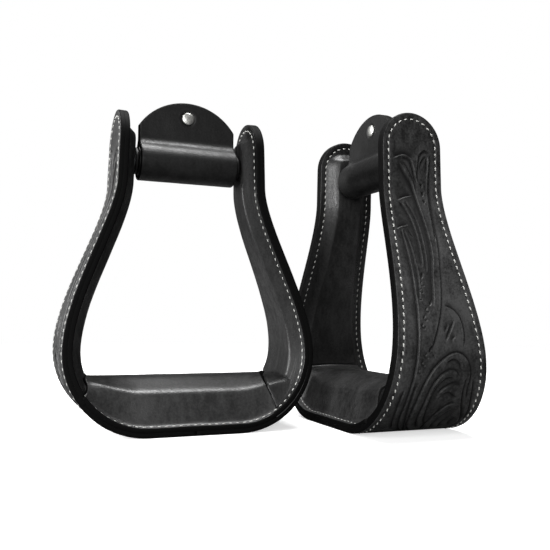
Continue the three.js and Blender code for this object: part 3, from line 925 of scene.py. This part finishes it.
def blockPiece(side):
    runs = np.linspace(block["low"], block["high"], block["rows"])[:, None]
    along = np.repeat(runs, block["cols"], 1)
    across = np.linspace(-1.0, 1.0, block["cols"])[None, :] * (halfDepth(along) - block["edgeIn"])
    under, underHeight = treadSection(np.repeat(runs, tread["cols"], 1), bell["leather"] + block["clear"])
    top = np.stack([np.interp(a, u, h) for a, u, h in zip(across, under, underHeight)])
    low, high = seamRuns(halfDepth(along) - np.abs(across), across)
    ease = smooth((np.minimum(along - low, high - along) - block["endGap"]) / block["endEase"])
    least = block["foot"] + block["thinnest"]
    top = least + (top - least) * ease
    outAcross = np.repeat(np.sign(across[:1]), block["rows"], 0)
    patch = (along, across, np.zeros_like(along), outAcross)
    points, faces, _ = leatherShell(patch, top, np.full_like(top, block["foot"]), block["rim"], onBell)
    return meshPiece(f"{side}_tread_wood", placed(side, points), faces, wood, f"{side}_stirrup",
                     [f"{side}_tread_block"])


# White thread, sewn right through: the same row of holes shows on the outer face and on the linings
stitch = {
    "pitch": 4.7, "length": 3.2, "radius": 0.4, "around": 6, "rings": 5, "slant": 0.16,
    "lift": 0.22, "dip": 0.75, "dipPower": 4, "swellPower": 6, "endSize": 0.02,
    "pathStep": 0.5, "tipSteps": 120,
}


def stitchPath():
    # The sewing line as one closed loop: up one long edge, round the tip, down the other, round the other tip
    inset = cover["stitchInset"]
    straight = np.arange(-roundStart, roundStart, stitch["pathStep"])
    edge = halfDepth(straight) - inset
    tip = np.linspace(0.0, math.pi, stitch["tipSteps"])
    radius = bell["neckHalfDepth"] - inset
    tipRun = roundStart + radius * np.sin(tip)
    tipAcross = radius * np.cos(tip)
    along = np.concatenate([straight, tipRun, straight[::-1], -tipRun])
    across = np.concatenate([-edge, -tipAcross, edge[::-1], tipAcross])
    return along, across


def outerHeight(along):
    return cover["grooveDepth"] + 0 * along


def innerHeight(along):
    return bell["edgeStack"] - cover["grooveDepth"] + 0 * along


def tubeFaces(count, rings, around):
    # Side and end faces of many short tubes whose points follow one another
    base = np.arange(count)[:, None, None] * rings * around
    ring = np.arange(rings - 1)[None, :, None] * around
    step = np.arange(around)[None, None, :]
    after = (step + 1) % around
    quads = np.stack([
        base + ring + step,
        base + ring + after,
        base + ring + around + after,
        base + ring + around + step,
    ], -1).reshape(-1, 4).tolist()
    first = (base[:, 0] + np.arange(around)[None, ::-1]).tolist()
    last = (base[:, 0] + (rings - 1) * around + np.arange(around)[None, :]).tolist()
    return quads + first + last


def unit(vectors):
    return vectors / np.linalg.norm(vectors, axis=-1, keepdims=True)


def threadPiece(side, label, height):
    # Each stitch is a short tube along the sewing line, slanted a little, whose ends turn down into their holes
    along, across = stitchPath()
    run = runsOf(onBell(along, across, height(along)))
    number = int(run[-1] / stitch["pitch"])
    middles = (np.arange(number) + 0.5) * run[-1] / number
    t = np.linspace(-0.5, 0.5, stitch["rings"])
    stations = middles[:, None] + t[None, :] * stitch["length"]
    a = np.interp(stations, run, along)
    c = np.interp(stations, run, across)
    centre = onBell(a, c, height(a))
    inward = onBell(a, c, height(a) + 1.0) - centre
    sideways = unit(np.cross(unit(np.gradient(centre, axis=1)), inward))
    outward = -inward if label == "outer" else inward
    rise = stitch["lift"] - stitch["dip"] * (2 * t) ** stitch["dipPower"]
    drift = t * stitch["length"] * stitch["slant"]
    centre = centre + outward * rise[None, :, None] + sideways * drift[None, :, None]
    end = stitch["endSize"]
    swell = stitch["radius"] * np.sqrt(np.clip(1.0 + end - (2 * t) ** stitch["swellPower"], end, 1.0))
    angle = (np.arange(stitch["around"]) * 2 * math.pi / stitch["around"])[None, None, :, None]
    spread = sideways[:, :, None] * np.cos(angle) + outward[:, :, None] * np.sin(angle)
    points = centre[:, :, None] + spread * swell[None, :, None, None]
    return meshPiece(f"{side}_thread_{label}", placed(side, points), tubeFaces(*points.shape[:3]), thread,
                     f"{side}_stirrup", None)


# The keeper tab: a strap folded round the roller, its two flaps riveted together above it
tab = {
    "cols": 66, "step": 1.0, "curveSteps": 300, "runSteps": 2400, "softened": 31, "crowding": 0.15,
    "rollRadius": 13.0, "bendRadius": 8.0, "slitHalf": 0.15, "arcRise": 18.0, "endMargin": 4.0,
    "rim": 0.8, "backRadius": 0.1, "below": 0.1, "thinner": 0.05,
    "dimple": 0.45, "dimpleRadius": 5.6, "lip": 0.18, "lipOut": 0.2, "lipWidth": 0.6,
    "uneven": {"depth": 0.1, "pitch": 16.0, "waves": 9},
}
tabLow, tabHigh = boxOf("left_keeper_tab")
tab["halfWidth"] = (tabHigh[0] - tabLow[0]) / 2
tab["top"] = tabHigh[2]


def tabTable():
    # The outer side of the fold, from the front flap's top down, round under the roll and up the back flap
    face = bell["leather"] + tab["slitHalf"]
    bendY = face + tab["bendRadius"]
    bendZ = math.sqrt((tab["rollRadius"] + tab["bendRadius"]) ** 2 - bendY ** 2)
    turn = math.atan2(bendZ, bendY)
    t = np.linspace(0.0, 1.0, tab["curveSteps"])
    height = tab["top"] - bell["barHeight"]
    flap = np.stack([-face + 0 * t, height + (bendZ - height) * t], 1)
    angle = turn * t
    bend = tab["bendRadius"] * np.stack([np.cos(angle), -np.sin(angle)], 1) + [-bendY, bendZ]
    half = math.pi - turn + (turn + math.pi / 2) * t
    roll = np.stack([tab["rollRadius"] * np.cos(half), tab["rollRadius"] * np.sin(half)], 1)
    front = np.concatenate([flap, bend[1:], roll[1:]])
    back = front[::-1] * [-1, 1]
    line = np.concatenate([front, back[1:]])
    return evenTable(line, tab["runSteps"], tab["softened"])


tabRun, tabY, tabZ, tabSlope = tabTable()


def onTab(along, across, height):
    # The fold's outer face at this run, moved in towards the roller by height
    y = np.interp(along, tabRun, tabY)
    z = np.interp(along, tabRun, tabZ)
    slope = np.interp(along, tabRun, tabSlope)
    up = bell["barHeight"] + z + np.cos(slope) * height
    return np.stack([across + 0 * y, y - np.sin(slope) * height, up], -1)


rivet = {"height": 212.0, "headRadius": 4.15, "dome": 0.9, "rim": 0.45, "seat": 0.1, "chamfer": 0.2,
         "steps": 14}


def tabPatch():
    # Rows of runs that follow the round top of the flap at both ends, and the way outwards at the edge
    inner = tab["halfWidth"] - tab["rim"]
    x = inner * crowded(tab["cols"], tab["crowding"])
    arcRadius = (tab["halfWidth"] ** 2 + tab["arcRise"] ** 2) / (2 * tab["arcRise"])
    arcDrop = arcRadius - np.sqrt((arcRadius - tab["rim"]) ** 2 - x ** 2)
    total = tabRun[-1]
    endRun = tab["arcRise"] + tab["endMargin"]
    middle = np.arange(endRun, total - endRun, tab["step"])
    t = np.linspace(0.0, 1.0, int(endRun / tab["step"]))[:, None]
    lowEnd = arcDrop[None, :] + (endRun - arcDrop[None, :]) * t
    rows = np.concatenate([lowEnd[:-1], np.repeat(middle[:, None], len(x), 1), (total - lowEnd[::-1])[1:]])
    lean = x / (arcRadius - tab["rim"])
    outAcross = np.repeat(np.sign(x)[None, :], len(rows), 0)
    outAlong = np.zeros_like(rows)
    for row, end in ((0, -1.0), (-1, 1.0)):
        outAlong[row] = end * np.sqrt(1 - lean ** 2)
        outAcross[row] = lean
    return rows, np.repeat(x[None, :], len(rows), 0), outAlong, outAcross


def tabPiece(side):
    draw = np.random.default_rng(seed + 6)
    patch = tabPatch()
    rows, across = patch[:2]
    rivetRun = tab["top"] - rivet["height"]
    near = np.minimum(np.hypot(across, rows - rivetRun), np.hypot(across, tabRun[-1] - rivetRun - rows))
    head = rivet["headRadius"]
    dimple = tab["dimple"] * (1 - smooth((near - head) / (tab["dimpleRadius"] - head)))
    lip = tab["lip"] * np.exp(-((near - tab["dimpleRadius"] - tab["lipOut"]) / tab["lipWidth"]) ** 2)
    top = dimple - lip + ripples(rows, across, tab["uneven"], draw) + tab["below"]
    thickness = bell["leather"] - tab["thinner"]
    rim = {"thickness": thickness, "radius": tab["rim"], "backRadius": tab["backRadius"]}
    points, faces, burnish = leatherShell(patch, top, np.full_like(top, thickness), rim, onTab)
    return meshPiece(f"{side}_tab_leather", placed(side, points), faces, tabLeather, f"{side}_keeper",
                     [f"{side}_keeper_tab"],
                     {"burnish": burnish, "tooling": np.zeros(len(burnish))})


def turnedPiece(name, profile, axis, height, material, body, replaced, steps=72):
    # A profile of radius and station carried round the x or the y axis
    radius, station = np.array(profile, float).T
    angle = np.arange(steps) * 2 * math.pi / steps
    ring = radius[:, None] * np.cos(angle), radius[:, None] * np.sin(angle)
    line = np.repeat(station[:, None], steps, 1)
    parts = [line, *ring] if axis == "x" else [ring[0], line, ring[1]]
    points = np.stack(parts, -1) + [0, 0, height]
    index = np.arange(len(radius) * steps).reshape(-1, steps)
    closed = np.concatenate([index, index[:1]]) if radius[0] > 0 else index
    after = np.roll(closed, -1, 1)
    quads = np.stack([closed[:-1], after[:-1], after[1:], closed[1:]], -1).reshape(-1, 4).tolist()
    side = body.split("_")[0]
    return meshPiece(name, placed(side, points), quads, material, body, replaced)


def roundedCorner(centre, radius, start, end, steps=6):
    angle = np.radians(np.linspace(start, end, steps))
    return [(centre[0] + radius * math.cos(a), centre[1] + radius * math.sin(a)) for a in angle]


def tubeProfile(bore, radius, low, high, corner):
    # A tube's half section: from the bore at one end, over both outer corners, to the bore at the other end
    profile = [(bore, low)] + roundedCorner((radius - corner, low + corner), corner, -90, 0)
    return profile + roundedCorner((radius - corner, high - corner), corner, 0, 90) + [(bore, high)]


def rivetPieces(side):
    face = bell["leather"] + tab["slitHalf"] - tab["dimple"]
    head = rivet["headRadius"]
    turns = np.linspace(0.0, math.pi / 2, rivet["steps"])
    dome = [(head * math.sin(a), rivet["rim"] + rivet["dome"] * math.cos(a)) for a in turns]
    skirt = [(head, rivet["seat"]), (head - rivet["chamfer"], 0.0), (0.0, 0.0)]
    for label, way in (("post", -1), ("cap", 1)):
        profile = [(r, way * (face + h)) for r, h in dome + skirt]
        turnedPiece(f"{side}_rivet_{label}_head", profile, "y", rivet["height"], nickel, f"{side}_keeper",
                    [f"{side}_rivet_{label}"])


# The roller, a tube over the bolt with some play, and the washers at its two ends
roller = {"play": 0.4, "corner": 0.8}
spacer = {"bore": 5.05, "corner": 0.5}


def rollerPieces(side):
    low, high = boxOf("left_roller")
    half = (high[0] - low[0]) / 2
    radius = (high[2] - low[2]) / 2
    profile = tubeProfile(radius / 2 + roller["play"], radius, -half, half, roller["corner"])
    turnedPiece(f"{side}_roller_tube", profile, "x", bell["barHeight"], nylon, f"{side}_keeper",
                [f"{side}_roller"])
    coverLow, coverHigh = boxOf("left_outer_cover")
    centre = (coverLow[0] + coverHigh[0]) / 2
    for hand in (-1, 1):
        letter = letterOf(hand)
        low, high = boxOf(f"left_spacer_{letter}")
        inner, outer = sorted((abs(low[0] - centre), abs(high[0] - centre)))
        profile = tubeProfile(spacer["bore"], (high[2] - low[2]) / 2, inner, outer, spacer["corner"])
        profile = [(r, hand * station) for r, station in profile]
        turnedPiece(f"{side}_spacer_washer_{letter}", profile, "x", bell["barHeight"], nylon,
                    f"{side}_stirrup", [f"{side}_spacer_{letter}"])


for side in sides:
    for hand in (-1, 1):
        coverPiece(side, hand)
        liningPiece(side, hand)
    treadPiece(side)
    blockPiece(side)
    threadPiece(side, "outer", outerHeight)
    threadPiece(side, "inner", innerHeight)
    tabPiece(side)
    rivetPieces(side)
    rollerPieces(side)
    print("stage:", side, "stirrup covered and sewn")

# What the leather hides keeps its CAD shape and takes its own material
hiddenLooks = {"core_hoop": wood, "tread_screw_a": zinc, "tread_screw_b": zinc,
               "bar_bolt": zinc, "bar_nut": zinc}
for side in sides:
    for label, material in hiddenLooks.items():
        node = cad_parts[f"{side}_{label}"]
        node.data.materials.clear()
        node.data.materials.append(material)

# Studio: a pale floor that fades into a white surround, and four softboxes
studio = {
    "floorSize": 30.0, "floor": "#f2f2f2", "bounce": "#6c6c6c", "mottle": 6.0,
    "surround": 1.0, "fill": 0.05, "glow": 0.6, "fadeFrom": 0.5, "fadeTo": 1.6, "aim": (0.0, 0.0, 0.11),
}
softboxes = {
    "keySoftbox": {"place": (-1.1, -0.8, 0.62), "size": (0.25, 1.1), "power": 17.0},
    "rimSoftbox": {"place": (-1.15, 0.52, 0.45), "size": (0.14, 0.9), "power": 22.0},
    "topSoftbox": {"place": (0.1, 0.08, 1.3), "size": (1.0, 0.2), "power": 26.0},
    "frontSoftbox": {"place": (-0.5, -1.4, 0.35), "size": (0.7, 0.5), "power": 8.0},
}


def studioFloor():
    half = studio["floorSize"] / 2
    corners = [(-half, -half, 0), (half, -half, 0), (half, half, 0), (-half, half, 0)]
    mesh = bpy.data.meshes.new("studio_floor")
    mesh.from_pydata(corners, [], [(0, 1, 2, 3)])
    material, tree, coordinates = startMaterial("lightTableFloor")
    distance = addNode(tree, "ShaderNodeVectorMath", {0: coordinates}, operation="LENGTH").outputs["Value"]
    mottle = addNode(tree, "ShaderNodeTexNoise", {
        "Vector": coordinates, "Scale": studio["mottle"], "Detail": 2.0,
    })
    rough = addNode(tree, "ShaderNodeMapRange", {"Value": mottle.outputs[0], "To Min": 0.75, "To Max": 0.85})
    seen = addNode(tree, "ShaderNodeLightPath").outputs["Is Camera Ray"]
    paint = addNode(tree, "ShaderNodeMix", {  # pale to the camera, but bounces little light back up
        "Factor": seen, 6: linearColour(studio["bounce"]), 7: linearColour(studio["floor"]),
    }, data_type="RGBA")
    matte = addNode(tree, "ShaderNodeBsdfPrincipled", {
        "Base Color": paint.outputs[2], "Roughness": rough.outputs[0], "Specular IOR Level": 0.1,
    })
    glowing = addNode(tree, "ShaderNodeMath", {0: seen, 1: studio["glow"]}, operation="MULTIPLY")
    glow = addNode(tree, "ShaderNodeEmission", {"Color": (1, 1, 1, 1), "Strength": glowing.outputs[0]})
    lit = addNode(tree, "ShaderNodeAddShader", {0: matte.outputs[0], 1: glow.outputs[0]})
    plain = addNode(tree, "ShaderNodeMath", {0: seen, 1: studio["surround"]}, operation="MULTIPLY")
    far = addNode(tree, "ShaderNodeEmission", {"Color": (1, 1, 1, 1), "Strength": plain.outputs[0]})
    fade = addNode(tree, "ShaderNodeMapRange", {
        "Value": distance, "From Min": studio["fadeFrom"], "From Max": studio["fadeTo"],
    }, interpolation_type="SMOOTHSTEP")
    surface = addNode(tree, "ShaderNodeMixShader", {
        0: fade.outputs[0], 1: lit.outputs[0], 2: far.outputs[0],
    })
    finishMaterial(tree, surface)
    mesh.materials.append(material)
    floor = bpy.data.objects.new("studio_floor", mesh)
    scene.collection.objects.link(floor)


def softbox(name, look):
    light = bpy.data.lights.new(name, "AREA")
    light.shape = "RECTANGLE"
    light.size, light.size_y = look["size"]
    light.energy = look["power"]
    lamp = bpy.data.objects.new(name, light)
    lamp.location = look["place"]
    toward = Vector(studio["aim"]) - Vector(look["place"])
    lamp.rotation_euler = toward.to_track_quat("-Z", "Y").to_euler()
    scene.collection.objects.link(lamp)


def studioLight():
    # The surround looks white to the camera and lights the stirrups only faintly
    world = bpy.data.worlds.new("softSurround")
    world.use_nodes = True
    tree = world.node_tree
    tree.nodes.clear()
    path = addNode(tree, "ShaderNodeLightPath")
    seen = addNode(tree, "ShaderNodeBackground", {"Color": (1, 1, 1, 1), "Strength": studio["surround"]})
    light = addNode(tree, "ShaderNodeBackground", {"Color": (1, 1, 1, 1), "Strength": studio["fill"]})
    mix = addNode(tree, "ShaderNodeMixShader", {
        0: path.outputs["Is Camera Ray"], 1: light.outputs[0], 2: seen.outputs[0],
    })
    addNode(tree, "ShaderNodeOutputWorld", {"Surface": mix.outputs[0]})
    scene.world = world
    for name, look in softboxes.items():
        softbox(name, look)


studioFloor()
studioLight()
scene.view_settings.view_transform = "Standard"

# Camera: low, a little under half the height of the stirrups, looking slightly up; place, focal length and
# sensor are in mm, the angles in degrees
view = {"place": (-169.4, -447.0, 76.0), "azimuth": -22.07, "rise": 3.34, "roll": 0.56, "focal": 46.29,
        "sensor": 36.0, "nearest": 0.01}


def studioCamera():
    camera = bpy.data.cameras.new("studioCamera")
    camera.lens = view["focal"]
    camera.sensor_width = view["sensor"]
    camera.clip_start = view["nearest"]
    holder = bpy.data.objects.new("studioCamera", camera)
    holder.location = [c * millimetre for c in view["place"]]
    azimuth = math.radians(view["azimuth"])
    rise = math.radians(view["rise"])
    level = math.cos(rise)
    toward = Vector((-math.sin(azimuth) * level, math.cos(azimuth) * level, math.sin(rise)))
    aimed = toward.to_track_quat("-Z", "Y").to_matrix()
    holder.rotation_euler = (aimed @ Matrix.Rotation(math.radians(view["roll"]), 3, "Z")).to_euler()
    scene.collection.objects.link(holder)
    scene.camera = holder


studioCamera()
print("stage: studio and camera ready")
